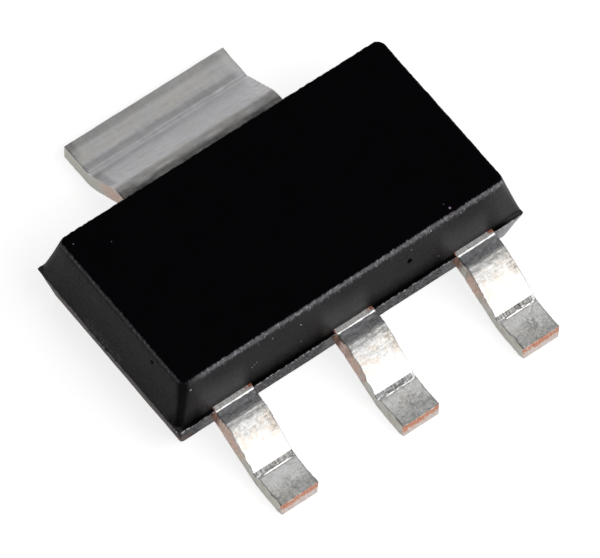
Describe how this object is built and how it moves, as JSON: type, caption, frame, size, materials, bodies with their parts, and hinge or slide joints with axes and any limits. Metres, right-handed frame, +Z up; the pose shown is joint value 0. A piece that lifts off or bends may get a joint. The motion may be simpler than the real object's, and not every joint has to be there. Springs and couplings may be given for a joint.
{
  "type": "linear voltage regulator",
  "caption": "Surface-mount linear voltage regulator: black moulded body, gull-wing leads along one side and a wide soldered heat tab along the other.",
  "frame": {"origin": "on the seat, under the centre of the package's outline over leads and tab", "axes": "+X along the row of leads from the ground lead to the input lead, +Y from the leads towards the heat tab, +Z up from the seat"},
  "size_m": [0.0066, 0.007, 0.0016],
  "materials": {
    "black_moulding": "matte, fine grain",
    "tinned_copper": "matte tin plating",
    "solder": "satin",
    "silicon": "polished",
    "bond_wire_metal": "bright"
  },
  "bodies": {
    "root": {"moulded_body": "black_moulding", "heat_tab_frame": "tinned_copper", "ground_lead": "tinned_copper", "input_lead": "tinned_copper", "die_solder": "solder", "silicon_die": "silicon", "ground_wire": "bond_wire_metal", "input_wire_1": "bond_wire_metal", "input_wire_2": "bond_wire_metal", "output_wire_1": "bond_wire_metal", "output_wire_2": "bond_wire_metal"}
  },
  "joints": []
}
